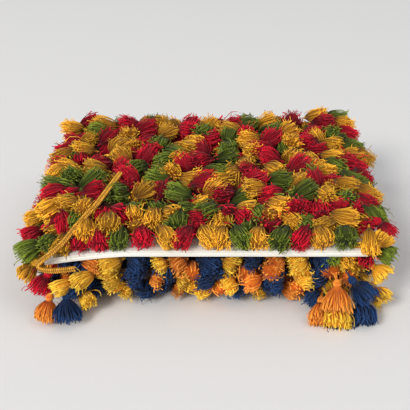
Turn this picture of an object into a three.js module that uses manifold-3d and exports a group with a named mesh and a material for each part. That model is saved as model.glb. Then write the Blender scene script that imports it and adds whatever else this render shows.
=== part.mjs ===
import * as THREE from 'three';
import Module from 'manifold-3d';

// Tassel fringe trim wound flat on a white card, with a second colourway wound under it.
// Millimetres, +Z up, the long side along X and the front towards -Y. Z starts at the table.

const GAP = 0.35; // between two pieces
const CARD = { halfLength: 188, front: -5, back: 286, bottom: 74, thick: 8, notch: 1.4, lip: 0.9 };
const DROOP = { from: -95, depth: 12 }; // the card's left end bends down

// Outlines of the two windings, from the lowest to the highest
const UPPER_FORM = [
  { z: 48, half: 186, front: 36, back: 270 },
  { z: 60, half: 196, front: 27, back: 282 },
  { z: 84, half: 203, front: 24, back: 292 },
  { z: 98, half: 198, front: 28, back: 294 },
  { z: 107, half: 178, front: 52, back: 274 },
];
const LOWER_FORM = [
  { z: 0, half: 178, front: 28, back: 268 },
  { z: 8, half: 188, front: 14, back: 281 },
  { z: 26, half: 196, front: 2, back: 292 },
  { z: 50, half: 197, front: -2, back: 295 },
  { z: 72, half: 184, front: 8, back: 284 },
];
const OUTLINE_POINTS = 24;
const OUTLINE_POWER = 7; // how square a winding's outline is
// The upper winding is higher and longer towards the back, and a little longer again at the right
const SWELL = { from: 30, to: 290, above: 84, top: 107, height: 16, longer: 0.03, right: 4 };

// The tassels on top stand in rows along the turns
const TOP = { rows: 9, columns: 13, halfLength: 187, front: 38, back: 284, crown: 5 };
const TASSEL = { length: 37, radius: 15, headRadius: 6 };
const UPPER_ORDER = ['mustard', 'crimson', 'green', 'mustard', 'crimson', 'mustard', 'crimson', 'green'];
const LOWER_ORDER = ['yellow', 'navy', 'orange', 'yellow', 'navy', 'yellow', 'orange', 'navy'];

// Rows of tassels round the sides: how far each head is sunk and each tip stands out, how far the
// tassel leans along the row, and how far its tip drops
const SIDE_ROWS = [
  { pile: 'upper', side: 'front', count: 13, z: 98, sunk: 8, out: 26, lean: 7, drop: 8 },
  { pile: 'upper', side: 'left', count: 9, z: 101, sunk: 16, out: 17, lean: 13, drop: 5 },
  { pile: 'upper', side: 'left', count: 8, z: 75, sunk: 14, out: 17, lean: 13, drop: 8 },
  { pile: 'upper', side: 'right', count: 9, z: 101, sunk: 16, out: 18, lean: 13, drop: 5 },
  { pile: 'upper', side: 'right', count: 8, z: 75, sunk: 14, out: 18, lean: 13, drop: 8 },
  { pile: 'upper', side: 'back', count: 10, z: 98, sunk: 4, out: 6, lean: 15, drop: 4 },
  { pile: 'lower', side: 'front', count: 13, z: 60, sunk: 5, out: 5, lean: 15, drop: 3 },
  { pile: 'lower', side: 'front', count: 13, z: 39, sunk: 5, out: 5, lean: 15, drop: 3 },
  { pile: 'lower', side: 'front', count: 11, z: 18, sunk: 7, out: 2, lean: 15, drop: 2 },
  { pile: 'lower', side: 'left', count: 8, z: 46, sunk: 14, out: 14, lean: 12, drop: 6 },
  { pile: 'lower', side: 'left', count: 7, z: 20, sunk: 14, out: 13, lean: 12, drop: 4 },
  { pile: 'lower', side: 'right', count: 8, z: 46, sunk: 14, out: 15, lean: 12, drop: 6 },
  { pile: 'lower', side: 'right', count: 7, z: 20, sunk: 14, out: 14, lean: 12, drop: 4 },
  { pile: 'lower', side: 'back', count: 9, z: 54, sunk: 4, out: 6, lean: 15, drop: 3 },
  { pile: 'lower', side: 'back', count: 8, z: 24, sunk: 4, out: 6, lean: 15, drop: 3 },
];

// Loose tassels at the two ends: the head's top, the middle of the cut ends and their radius
const LOOSE = [
  { name: 'tassel_left_orange', colour: 'orange', head: [-182, -20, 32], tip: [-188, -36, 5], radius: 12 },
  { name: 'tassel_left_navy', colour: 'navy', head: [-163, -20, 33], tip: [-162, -38, 5], radius: 18 },
  { name: 'tassel_left_yellow', colour: 'yellow', head: [-150, -12, 44], tip: [-178, -24, 39], radius: 9 },
  { name: 'tassel_left_floor', colour: 'yellow', head: [-151, -2, 24], tip: [-137, -23, 20], radius: 9 },
  { name: 'tassel_left_crimson', colour: 'crimson', head: [-182, -6, 55], tip: [-198, -18, 33], radius: 12 },
  { name: 'tassel_left_mustard', colour: 'mustard', head: [-200, 8, 61], tip: [-217, 1, 39], radius: 11 },
  { name: 'tassel_left_green', colour: 'green', head: [-187, 18, 83], tip: [-220, 11, 65], radius: 13 },
  { name: 'tassel_left_red', colour: 'crimson', head: [-192, 46, 84], tip: [-219, 35, 73], radius: 12 },
  { name: 'tassel_left_gold', colour: 'mustard', head: [-189, 62, 93], tip: [-221, 53, 86], radius: 10 },
  { name: 'tassel_right_yellow', colour: 'yellow', head: [154, -14, 17], tip: [151, -48, 6], radius: 16 },
  { name: 'tassel_right_orange', colour: 'orange', head: [152, -19, 51], tip: [151, -40, 23], radius: 17 },
  { name: 'tassel_right_floor', colour: 'orange', head: [138, -12, 20], tip: [129, -42, 6], radius: 9 },
  { name: 'tassel_right_navy', colour: 'navy', head: [168, -12, 49], tip: [192, -25, 27], radius: 14 },
  { name: 'tassel_right_blue', colour: 'navy', head: [183, -12, 24], tip: [185, -44, 6], radius: 14 },
  { name: 'tassel_right_high', colour: 'yellow', head: [193, 5, 58], tip: [212, -8, 46], radius: 12 },
  { name: 'tassel_right_low', colour: 'yellow', head: [197, 3, 30], tip: [213, -14, 16], radius: 12 },
  { name: 'tassel_right_green', colour: 'green', head: [194, 18, 76], tip: [219, 4, 66], radius: 11 },
  { name: 'tassel_right_gold', colour: 'mustard', head: [193, -2, 82], tip: [209, 8, 95], radius: 11 },
  { name: 'tassel_right_crimson', colour: 'crimson', head: [202, 38, 100], tip: [220, 24, 84], radius: 9 },
];
const LOCKS = { count: 8, root: 2.6, spread: 0.8, thick: 0.36 };
const NECK = { length: 13, radius: 5.8 };
const HEAD = [{ along: 0, radius: 3.8 }, { along: 4, radius: 5.6 }, { along: 8, radius: 4.5 }];

// The gimp heading, 6.5 mm wide. Each row is a point of its middle line and the way its face looks
const GIMP = { width: 6.5, thick: 2 };
const LAST_TURN = [
  { x: -100, y: 152, z: 117, face: [0, 0, 1] },
  { x: -108, y: 108, z: 125, face: [0, 0, 1] },
  { x: -118, y: 70, z: 124, face: [0, -0.1, 1] },
  { x: -129, y: 41, z: 118, face: [0, -0.4, 1] },
  { x: -141, y: 27, z: 110, face: [-0.05, -0.6, 1] },
  { x: -153, y: 12, z: 101, face: [-0.1, -0.6, 1] },
  { x: -163, y: -1, z: 92, face: [-0.2, -0.7, 1] },
  { x: -175, y: -11, z: 84, face: [-0.5, -0.8, 0.8] },
  { x: -186, y: -14, z: 76.5, face: [-0.8, -0.9, 0.5] },
  { x: -195, y: -14, z: 69, face: [-0.9, -0.9, 0.1] },
  { x: -192, y: -16, z: 63.5, face: [-0.5, -1, -0.2] },
  { x: -180, y: -17, z: 62, face: [0, -1, 0] },
  { x: -166, y: -16, z: 62.5, face: [0.1, -1, 0] },
  { x: -152, y: -14, z: 63, face: [0.1, -1, 0] },
];
const FRONT_HEADING = [
  { x: 166, y: 6, z: 84, face: [0, -0.3, 1] },
  { x: 176, y: 2, z: 84.2, face: [0, -0.3, 1] },
  { x: 187, y: 3, z: 84, face: [0, -0.3, 1] },
];

const FINISH = {
  card: { color: '#f1f0e8', roughness: 0.85 },
  crimson: { color: '#b3142f', roughness: 0.9 },
  mustard: { color: '#d99a1b', roughness: 0.9 },
  green: { color: '#44701f', roughness: 0.9 },
  navy: { color: '#1d3560', roughness: 0.9 },
  orange: { color: '#ee9432', roughness: 0.9 },
  yellow: { color: '#f3c12f', roughness: 0.9 },
  gimp: { color: '#c8912b', roughness: 0.85 },
};

const wasm = await Module();
wasm.setup();

// Even random numbers from 0 to 1, the same on every run
function randomFrom(seed) {
  let state = seed;
  return () => {
    state = (state + 0x6d2b79f5) | 0;
    let t = Math.imul(state ^ (state >>> 15), 1 | state);
    t = (t + Math.imul(t ^ (t >>> 7), 61 | t)) ^ t;
    return ((t ^ (t >>> 14)) >>> 0) / 4294967296;
  };
}

// A closed solid from rings of points, each with as many points as the next. A ring may be one
// point, at either end only; a ring of more is closed with a fan.
function loft(rings) {
  const points = rings.flat();
  const faces = [];
  let start = 0;
  const first = rings[0];
  const last = rings[rings.length - 1];
  for (let i = 0; i + 1 < rings.length; i += 1) {
    const a = rings[i].length;
    const b = rings[i + 1].length;
    const next = start + a;
    const sides = Math.max(a, b);
    for (let j = 0; j < sides; j += 1) {
      const k = (j + 1) % sides;
      if (a === 1) faces.push([start, next + j, next + k]);
      else if (b === 1) faces.push([start + k, start + j, next]);
      else faces.push([start + j, next + j, next + k], [start + j, next + k, start + k]);
    }
    start = next;
  }
  for (let j = 1; first.length > 2 && j + 1 < first.length; j += 1) faces.push([0, j, j + 1]);
  for (let j = 1; last.length > 2 && j + 1 < last.length; j += 1) {
    faces.push([start, start + j + 1, start + j]);
  }
  return solidFrom(points, faces);
}

// Turns every face outward and hands the solid over for joining and cutting
function solidFrom(points, faces) {
  let volume = 0;
  for (const [a, b, c] of faces) {
    volume += points[a].dot(new THREE.Vector3().crossVectors(points[b], points[c]));
  }
  const outward = volume > 0 ? faces : faces.map(([a, b, c]) => [a, c, b]);
  return new wasm.Manifold(new wasm.Mesh({
    numProp: 3,
    vertProperties: new Float32Array(points.flatMap((p) => [p.x, p.y, p.z])),
    triVerts: new Uint32Array(outward.flat()),
  }));
}

function joined(solids) {
  return wasm.Manifold.union(solids);
}

function largestBody(solid) {
  return solid.decompose().sort((a, b) => b.volume() - a.volume())[0];
}

// Moves a point of the upper winding to where the swell towards the back takes it
function swollen([x, y, z]) {
  const share = (value, from, to) => Math.min(Math.max((value - from) / (to - from), 0), 1);
  const deep = share(y, SWELL.from, SWELL.to);
  const high = share(z, SWELL.above, SWELL.top);
  return [x + deep * (SWELL.longer * x + SWELL.right), y, z + deep * high * SWELL.height];
}

// The outline of a winding at one height, grown by a margin
function outline({ z, half, front, back }, grow) {
  const middle = (front + back) / 2;
  const depth = (back - front) / 2 + grow;
  return Array.from({ length: OUTLINE_POINTS }, (_, i) => {
    const angle = (i / OUTLINE_POINTS) * 2 * Math.PI;
    const c = Math.cos(angle);
    const s = Math.sin(angle);
    const reach = (Math.abs(c) ** OUTLINE_POWER + Math.abs(s) ** OUTLINE_POWER) ** (-1 / OUTLINE_POWER);
    return new THREE.Vector3((half + grow) * c * reach, middle + depth * s * reach, z);
  });
}

function windingCore(form, grow) {
  const swell = form === UPPER_FORM ? swollen : (place) => place;
  return loft(form.map((row, i) => {
    const end = i === 0 ? -1 : i === form.length - 1 ? 1 : 0;
    const ring = outline({ ...row, z: Math.max(row.z + end * grow, 0) }, grow);
    return ring.map((point) => new THREE.Vector3(...swell(point.toArray())));
  }));
}

// A winding's outline between two of its rows
function formAt(form, z) {
  const upper = Math.max(1, form.findIndex((row) => row.z >= z));
  const low = form[upper - 1];
  const high = form[upper];
  const t = (z - low.z) / (high.z - low.z);
  const mix = (key) => low[key] + (high[key] - low[key]) * t;
  return { half: mix('half'), front: mix('front'), back: mix('back') };
}

// Where each tassel of the two windings lies: rows on top, then rows round the sides
function layTassels() {
  const random = randomFrom(11);
  const around = (spread) => spread * (2 * random() - 1);
  const tassels = [];
  const pitchX = (2 * TOP.halfLength) / TOP.columns;
  const pitchY = (TOP.back - TOP.front) / TOP.rows;
  const middleY = (TOP.front + TOP.back) / 2;
  for (let row = 0; row < TOP.rows; row += 1) {
    const turn = Math.floor(random() * UPPER_ORDER.length);
    for (let column = 0; column < TOP.columns; column += 1) {
      const x = -TOP.halfLength + (column + 0.5) * pitchX + around(0.3 * pitchX);
      const y = TOP.front + (row + 0.5) * pitchY + around(0.3 * pitchY);
      const rimX = Math.abs(x) / TOP.halfLength;
      const rimY = Math.abs(y - middleY) / (middleY - TOP.front);
      const z = 111 + around(2.5) - TOP.crown * Math.max(rimX, rimY) ** 6;
      const edge = column === 0 || column === TOP.columns - 1 || row === 0 || row === TOP.rows - 1;
      const angle = edge ? Math.atan2(y - middleY, x) + around(1) : around(Math.PI);
      const half = (TASSEL.length * (0.85 + 0.25 * random())) / 2;
      const lift = 2 + 6 * random();
      const along = [Math.cos(angle) * half, Math.sin(angle) * half];
      tassels.push({
        pile: 'upper',
        colour: UPPER_ORDER[(turn + column) % UPPER_ORDER.length],
        head: swollen([x - along[0], y - along[1], z - 4]),
        tip: swollen([x + along[0], y + along[1], z - 4 + lift]),
        radius: TASSEL.radius + around(1.5),
      });
    }
  }
  for (const row of SIDE_ROWS) {
    const form = formAt(row.pile === 'upper' ? UPPER_FORM : LOWER_FORM, row.z);
    const order = row.pile === 'upper' ? UPPER_ORDER : LOWER_ORDER;
    const middle = (form.front + form.back) / 2;
    const depth = (form.back - form.front) / 2;
    const swell = row.pile === 'upper' ? swollen : (place) => place;
    const facesX = row.side === 'left' || row.side === 'right';
    const sign = row.side === 'left' || row.side === 'front' ? -1 : 1;
    const turn = Math.floor(random() * order.length);
    for (let i = 0; i < row.count; i += 1) {
      const along = ((i + 0.5) / row.count) * 2 - 1 + around(0.25 / row.count);
      const s = along * 0.93;
      const reach = (1 - Math.abs(s) ** OUTLINE_POWER) ** (1 / OUTLINE_POWER);
      const lean = row.lean * (random() < 0.5 ? -1 : 1) * (0.4 + 0.6 * random());
      const drop = row.drop * 0.5 + around(row.drop * 0.7);
      const z = row.z + around(3);
      const place = (outward, sideways, up) => (facesX
        ? [sign * (form.half * reach + outward), middle + depth * s + sideways, z + up]
        : [form.half * s + sideways, middle + sign * (depth * reach + outward), z + up]);
      tassels.push({
        pile: row.pile,
        colour: order[(turn + i) % order.length],
        head: swell(place(-row.sunk, -lean, drop)),
        tip: swell(place(row.out, lean, -drop)),
        radius: TASSEL.radius + around(1.5),
      });
    }
  }
  return tassels;
}

// Two directions square to a tassel's length, the first one level
function crossDirections(length) {
  const level = new THREE.Vector3().crossVectors(length, new THREE.Vector3(0, 0, 1));
  if (level.length() < 0.2) level.set(1, 0, 0);
  level.normalize();
  return [level, new THREE.Vector3().crossVectors(level, length).normalize()];
}

// A packed tassel as it shows in the winding: a narrow head that flares to blunt cut ends
function packedTassel(tassel, seed, grow) {
  const random = randomFrom(seed);
  const head = new THREE.Vector3(...tassel.head);
  const tip = new THREE.Vector3(...tassel.tip);
  const length = new THREE.Vector3().subVectors(tip, head).normalize();
  const [level, across] = crossDirections(length);
  const ring = (t, radius) => Array.from({ length: 4 }, (_, i) => {
    const angle = ((i + 0.5 + random() * 0.4) / 4) * 2 * Math.PI;
    const wide = radius * (0.92 + 0.16 * random()) + grow;
    const point = new THREE.Vector3().lerpVectors(head, tip, t);
    point.addScaledVector(level, Math.cos(angle) * wide);
    point.addScaledVector(across, Math.sin(angle) * wide * 0.86);
    point.z = Math.max(point.z, 0);
    return point;
  });
  const start = head.clone().addScaledVector(length, -3 - grow);
  start.z = Math.max(start.z, 1);
  return loft([[start], ring(0.25, TASSEL.headRadius), ring(1, tassel.radius)]);
}

// The card, bent down at its left end, with a notch along both long edges between its two leaves
function card(grow) {
  const { halfLength, front, back, bottom, thick, notch, lip } = CARD;
  const stops = [-halfLength - grow, -150, -120, DROOP.from, 0, halfLength + grow];
  const cut = grow > 0 ? 0 : notch;
  return loft(stops.map((x) => {
    const bend = Math.max(0, (DROOP.from - x) / (halfLength + DROOP.from)) ** 1.3 * DROOP.depth;
    const low = bottom - bend - grow;
    const high = bottom + thick - bend + grow;
    const middle = (low + high) / 2;
    const section = [
      [front - grow, low], [front - grow, middle - lip], [front - grow + cut, middle],
      [front - grow + 0.3 * cut, middle + lip], [front - grow, high], [back + grow, high],
      [back + grow, middle + lip], [back + grow - cut, middle], [back + grow, middle - lip],
      [back + grow, low],
    ];
    return section.map(([y, z]) => new THREE.Vector3(x, y, z));
  }));
}

// A flat strip along the rows of a path. The cutter is a wider one that is open far above the face.
function strip(path, grow, above) {
  const points = path.map(({ x, y, z }) => new THREE.Vector3(x, y, z));
  return loft(path.map((row, i) => {
    const before = points[Math.max(i - 1, 0)];
    const after = points[Math.min(i + 1, points.length - 1)];
    const along = new THREE.Vector3().subVectors(after, before).normalize();
    const face = new THREE.Vector3(...row.face);
    face.addScaledVector(along, -face.dot(along)).normalize();
    const side = new THREE.Vector3().crossVectors(along, face).multiplyScalar(GIMP.width / 2 + grow);
    const base = points[i].clone();
    if (grow > 0 && i === 0) base.addScaledVector(along, -grow);
    if (grow > 0 && i === points.length - 1) base.addScaledVector(along, grow);
    const low = base.clone().addScaledVector(face, -GIMP.thick / 2 - grow);
    const high = base.clone().addScaledVector(face, GIMP.thick / 2 + above);
    return [
      low.clone().sub(side), low.clone().add(side), high.clone().add(side), high.clone().sub(side),
    ];
  }));
}

// Where the loop on a loose tassel's head is held, a little way inside the winding behind it
function heldAt(head) {
  const top = new THREE.Vector3(...head);
  const inward = new THREE.Vector3(Math.sign(top.x) * 150, 120, top.z).sub(top).normalize();
  const inside = (point) => {
    const form = formAt(point.z > 74 ? UPPER_FORM : LOWER_FORM, point.z);
    const sideways = Math.abs(point.x) / form.half;
    const middle = (form.front + form.back) / 2;
    const deep = Math.abs(point.y - middle) / ((form.back - form.front) / 2);
    return sideways ** OUTLINE_POWER + deep ** OUTLINE_POWER < 0.5;
  };
  const point = top.clone().addScaledVector(inward, 5);
  while (!inside(point)) point.addScaledVector(inward, 1);
  return point;
}

// A loose tassel: a wrapped head and neck, with locks that stand apart below the neck. The neck ends
// in two rings with a pair of corners for each lock, and a lock grows from the face between them.
function looseTassel({ head, tip, radius }) {
  const top = new THREE.Vector3(...head);
  const end = new THREE.Vector3(...tip);
  const length = new THREE.Vector3().subVectors(end, top);
  const reach = length.length();
  length.normalize();
  const [level, across] = crossDirections(length);
  const place = (along, angle, out) => {
    const point = top.clone().addScaledVector(length, along);
    return point.addScaledVector(level, Math.cos(angle) * out).addScaledVector(across, Math.sin(angle) * out);
  };
  const points = [heldAt(head)];
  const faces = [];
  const { count } = LOCKS;
  const turn = (2 * Math.PI) / count;
  for (const stop of HEAD) {
    for (let i = 0; i < count; i += 1) points.push(place(stop.along, i * turn, stop.radius));
  }
  const row = (j) => 1 + j * count;
  for (let i = 0; i < count; i += 1) {
    const k = (i + 1) % count;
    faces.push([0, row(0) + k, row(0) + i]);
    for (let j = 0; j + 1 < HEAD.length; j += 1) {
      const [a, b, c, d] = [row(j) + i, row(j) + k, row(j + 1) + k, row(j + 1) + i];
      faces.push([a, b, c], [a, c, d]);
    }
  }
  // Outer and inner corners of each lock, at the neck and at the cut ends
  const start = points.length;
  const half = (turn / 2) * LOCKS.spread;
  for (let i = 0; i < count; i += 1) {
    const middle = i * turn;
    const cut = reach * (1 - 0.05 * (i % 3));
    const inside = radius * (1 - LOCKS.thick);
    points.push(
      place(NECK.length, middle - half, NECK.radius), place(NECK.length, middle + half, NECK.radius),
      place(NECK.length, middle + half, LOCKS.root), place(NECK.length, middle - half, LOCKS.root),
    );
    const ends = [[-half, radius], [half, radius], [half, inside], [-half, inside]]
      .map(([angle, out]) => place(cut, middle + angle, out));
    const lift = Math.max(0, -Math.min(...ends.map((point) => point.z)));
    const rise = Math.max(0, radius * LOCKS.thick - Math.max(...ends.map((point) => point.z + lift)));
    ends.forEach((point, j) => { point.z += lift + (j > 1 ? rise : 0); });
    points.push(...ends);
  }
  const middlePoint = points.length;
  points.push(place(NECK.length, 0, 0));
  for (let i = 0; i < count; i += 1) {
    const a = start + i * 8;
    const b = start + ((i + 1) % count) * 8;
    const last = row(HEAD.length - 1);
    const [ring, next] = [last + i, last + ((i + 1) % count)];
    faces.push([ring, a + 1, a], [ring, b, a + 1], [ring, next, b]);
    faces.push([a + 1, b, b + 3], [a + 1, b + 3, a + 2]);
    faces.push([a + 3, a + 2, middlePoint], [a + 2, b + 3, middlePoint]);
    for (let j = 0; j < 4; j += 1) {
      const k = (j + 1) % 4;
      faces.push([a + j, a + k, a + 4 + k], [a + j, a + 4 + k, a + 4 + j]);
    }
    faces.push([a + 4, a + 5, a + 6], [a + 4, a + 6, a + 7]);
  }
  return solidFrom(points, faces);
}

// The space that a loose tassel takes in the winding behind it, close round its loop and head
function looseTasselRoom({ head, tip, radius }) {
  const top = new THREE.Vector3(...head);
  const end = new THREE.Vector3(...tip);
  const length = new THREE.Vector3().subVectors(end, top).normalize();
  const [level, across] = crossDirections(length);
  const ring = (along, size) => Array.from({ length: LOCKS.count }, (_, i) => {
    const angle = (i / LOCKS.count) * 2 * Math.PI;
    return top.clone().addScaledVector(length, along).addScaledVector(level, Math.cos(angle) * size)
      .addScaledVector(across, Math.sin(angle) * size);
  });
  const held = heldAt(head);
  held.addScaledVector(new THREE.Vector3().subVectors(held, top).normalize(), GAP);
  const reach = top.distanceTo(end);
  const skirt = (radius * 1.09 + GAP) / Math.cos(Math.PI / LOCKS.count);
  return loft([
    [held], ...HEAD.map((stop) => ring(stop.along, stop.radius + GAP)),
    ring(NECK.length, NECK.radius + 0.9), ring(reach, skirt), ring(reach + 2, skirt),
  ]);
}

function toMesh(name, solid, finish, shift) {
  const { vertProperties, triVerts } = solid.getMesh();
  const geometry = new THREE.BufferGeometry();
  geometry.setAttribute('position', new THREE.BufferAttribute(new Float32Array(vertProperties), 3));
  geometry.setIndex(new THREE.BufferAttribute(new Uint32Array(triVerts), 1));
  geometry.translate(shift.x, shift.y, shift.z);
  geometry.computeVertexNormals();
  const material = new THREE.MeshStandardMaterial({ ...FINISH[finish], metalness: 0 });
  const mesh = new THREE.Mesh(geometry, material);
  mesh.name = name;
  return mesh;
}

const tassels = layTassels();
const winding = (pile, form, grow) => joined([
  windingCore(form, grow),
  ...tassels.flatMap((tassel, i) => (tassel.pile === pile ? [packedTassel(tassel, 100 + i, grow)] : [])),
]);

const lastTurn = strip(LAST_TURN, 0, 0);
const frontHeading = strip(FRONT_HEADING, 0, 0).subtract(card(GAP));
const rooms = joined([
  ...LOOSE.map(looseTasselRoom), strip(LAST_TURN, GAP, 30), strip(FRONT_HEADING, GAP, 6), card(GAP),
]);

// Each loose tassel gives way to the ones before it in the table, and to the card and the heading
const looseSolids = [];
let taken = joined([card(GAP), strip(LAST_TURN, GAP, GAP), strip(FRONT_HEADING, GAP, GAP)]);
for (const row of LOOSE) {
  looseSolids.push(largestBody(looseTassel(row).subtract(taken)));
  taken = taken.add(looseTasselRoom(row));
}

const pieces = [
  ['card', card(0), 'card'],
  ['upper_winding', largestBody(winding('upper', UPPER_FORM, 0).subtract(rooms)), 'mustard'],
  ['lower_winding', largestBody(
    winding('lower', LOWER_FORM, 0).subtract(joined([winding('upper', UPPER_FORM, GAP), rooms])),
  ), 'navy'],
  ['last_turn', lastTurn, 'gimp'],
  ['front_heading', largestBody(frontHeading), 'gimp'],
  ...LOOSE.map((row, i) => [row.name, looseSolids[i], row.colour]),
];

// The origin is under the middle of the whole bundle, on the table
const box = new THREE.Box3();
for (const [, solid] of pieces) {
  const { min, max } = solid.boundingBox();
  box.expandByPoint(new THREE.Vector3(...min));
  box.expandByPoint(new THREE.Vector3(...max));
}
const shift = new THREE.Vector3(-(box.min.x + box.max.x) / 2, -(box.min.y + box.max.y) / 2, -box.min.z);

const bundle = new THREE.Group();
bundle.name = 'tassel_fringe_trim';
for (const [name, solid, finish] of pieces) bundle.add(toMesh(name, solid, finish, shift));

export default bundle;
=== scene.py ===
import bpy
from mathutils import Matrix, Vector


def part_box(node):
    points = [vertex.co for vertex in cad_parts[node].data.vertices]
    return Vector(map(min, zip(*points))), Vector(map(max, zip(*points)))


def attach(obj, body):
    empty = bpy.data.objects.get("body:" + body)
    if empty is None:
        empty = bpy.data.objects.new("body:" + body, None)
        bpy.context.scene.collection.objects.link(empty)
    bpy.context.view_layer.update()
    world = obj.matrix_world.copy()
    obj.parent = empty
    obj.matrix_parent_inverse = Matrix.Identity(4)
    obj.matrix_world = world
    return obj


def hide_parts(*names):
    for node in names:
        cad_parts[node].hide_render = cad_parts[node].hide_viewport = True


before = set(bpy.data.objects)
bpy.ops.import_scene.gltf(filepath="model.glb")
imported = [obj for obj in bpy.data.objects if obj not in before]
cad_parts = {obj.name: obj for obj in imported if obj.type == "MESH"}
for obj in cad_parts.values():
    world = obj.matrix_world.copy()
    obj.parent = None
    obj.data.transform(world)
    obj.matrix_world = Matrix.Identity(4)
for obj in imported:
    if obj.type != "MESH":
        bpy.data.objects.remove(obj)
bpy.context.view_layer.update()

# The card
# The flat white board that both windings lie against, two leaves thick, with plain cut edges. It
# shows as a pale band right across the front, and its left end is bent down by the tight turns.
import math

import bpy
import numpy as np

MM = 0.001
card_low, card_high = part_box("card")
# Sizes below are in millimetres from the middle of the card's front edge line, as they were measured
measured_from = np.array([(card_low[0] + card_high[0]) / 2, card_low[1] + 5 * MM, 0.0])


def linear(red, green, blue):
    """A colour seen on screen, as the light it stands for."""
    parts = [c / 255 for c in (red, green, blue)]
    return tuple(c / 12.92 if c < 0.04045 else ((c + 0.055) / 1.055) ** 2.4 for c in parts) + (1.0,)


def new_finish(name, roughness, sheen=0.0):
    finish = bpy.data.materials.new(name)
    finish.use_nodes = True
    shader = finish.node_tree.nodes["Principled BSDF"]
    shader.inputs["Roughness"].default_value = roughness
    shader.inputs["Sheen Weight"].default_value = sheen
    shader.inputs["Sheen Roughness"].default_value = 0.5
    shader.inputs["Specular IOR Level"].default_value = 0.12
    return finish, finish.node_tree, shader


def add_node(tree, kind, **inputs):
    """A new node with some of its inputs set. A low line stands for the space in an input's name."""
    node = tree.nodes.new(kind)
    for name, value in inputs.items():
        node.inputs[name.replace("_", " ")].default_value = value
    return node


def multiply_add(tree, factor, more=0.0):
    node = tree.nodes.new("ShaderNodeMath")
    node.operation = "MULTIPLY_ADD"
    node.inputs[1].default_value, node.inputs[2].default_value = factor, more
    return node


def wire(tree, *joins):
    """Links nodes: each join runs from a node's output to another node's input."""
    for source, output, target, into in joins:
        tree.links.new(source.outputs[output], target.inputs[into])


board, tree, shader = new_finish("White board", 0.8)
place = add_node(tree, "ShaderNodeTexCoord")
fibre = add_node(tree, "ShaderNodeTexNoise", Scale=900, Detail=4)
cloudy = add_node(tree, "ShaderNodeTexNoise", Scale=14, Detail=3)
shade = add_node(tree, "ShaderNodeValToRGB")
darker, paler = shade.color_ramp.elements
darker.position, darker.color = 0.3, linear(236, 233, 220)
paler.position, paler.color = 0.65, linear(248, 246, 236)
both = multiply_add(tree, 3.0)
creased = add_node(tree, "ShaderNodeBump", Strength=0.35, Distance=0.0008)
wire(tree,
     (place, "Object", fibre, "Vector"), (place, "Object", cloudy, "Vector"),
     (cloudy, "Fac", shade, "Fac"), (shade, "Color", shader, "Base Color"),
     (cloudy, "Fac", both, 0), (fibre, "Fac", both, 2),
     (both, 0, creased, "Height"), (creased, "Normal", shader, "Normal"))
for slot in bpy.data.objects["card"].material_slots:
    slot.material = board

# The upper winding
# Crimson, mustard and green cotton tassels on a gimp heading, wound lengthwise round the card so
# that the tassels of each turn lie packed on the last. Each tassel is cut yarn tied at its neck.
UPPER_FORM = [
    dict(z=48, half=186, front=36, back=270),
    dict(z=60, half=196, front=27, back=282),
    dict(z=84, half=203, front=24, back=292),
    dict(z=98, half=198, front=28, back=294),
    dict(z=107, half=178, front=52, back=274),
]
LOWER_FORM = [
    dict(z=0, half=178, front=28, back=268),
    dict(z=8, half=188, front=14, back=281),
    dict(z=26, half=196, front=2, back=292),
    dict(z=50, half=197, front=-2, back=295),
    dict(z=72, half=184, front=8, back=284),
]
FORMS = {"upper": UPPER_FORM, "lower": LOWER_FORM}
SQUARENESS = 7
GOLDEN_TURN = 2.39996
# The heights of the card's two faces and the bend down at its left end
CARD = dict(top=82.6, under=73.4, bend_from=-95, bend_over=93, bend_power=1.3, bend_down=12)
# The winding is higher and longer towards the back, and a little longer again at the right
SWELL = dict(start=30, end=290, above=84, top=107, height=16, longer=0.03, right=4)
TOP = dict(rows=9, columns=13, half=187, front=38, back=284, z=111, crown=5)
TASSEL_LENGTH, TASSEL_RADIUS = 37, 15
UPPER_ORDER = ["mustard", "crimson", "green", "mustard", "crimson", "mustard", "crimson", "green"]
LOWER_ORDER = ["yellow", "navy", "orange", "yellow", "navy", "yellow", "orange", "navy"]
ORDERS = {"upper": UPPER_ORDER, "lower": LOWER_ORDER}
SIDE_COLUMNS = ("pile", "side", "count", "z", "sunk", "out", "lean", "drop")
SIDE_ROWS = [
    ("upper", "front", 13, 98, 8, 26, 7, 8),
    ("upper", "left", 9, 101, 16, 17, 13, 5),
    ("upper", "left", 8, 75, 14, 17, 13, 8),
    ("upper", "right", 9, 101, 16, 18, 13, 5),
    ("upper", "right", 8, 75, 14, 18, 13, 8),
    ("upper", "back", 10, 98, 4, 6, 15, 4),
    ("lower", "front", 13, 60, 5, 5, 15, 3),
    ("lower", "front", 13, 39, 5, 5, 15, 3),
    ("lower", "front", 11, 18, 7, 2, 15, 2),
    ("lower", "left", 8, 46, 14, 14, 12, 6),
    ("lower", "left", 7, 20, 14, 13, 12, 4),
    ("lower", "right", 8, 46, 14, 15, 12, 6),
    ("lower", "right", 7, 20, 14, 14, 12, 4),
    ("lower", "back", 9, 54, 4, 6, 15, 3),
    ("lower", "back", 8, 24, 4, 6, 15, 3),
]


def named_rows(columns, rows):
    return [dict(zip(columns, row)) for row in rows]


def random_from(seed):
    """Even random numbers from 0 to 1, the same on every run."""
    whole = 0xFFFFFFFF
    state = seed
    while True:
        state = (state + 0x6D2B79F5) & whole
        t = ((state ^ (state >> 15)) * (1 | state)) & whole
        t = ((t + (((t ^ (t >> 7)) * (61 | t)) & whole)) & whole) ^ t
        yield ((t ^ (t >> 14)) & whole) / 4294967296


def form_at(form, z):
    """A winding's outline at one height."""
    above = next((i for i, row in enumerate(form) if row["z"] >= z), len(form) - 1)
    low, high = form[max(above, 1) - 1], form[max(above, 1)]
    t = (z - low["z"]) / (high["z"] - low["z"])
    return {key: low[key] + (high[key] - low[key]) * t for key in ("half", "front", "back")}


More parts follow.
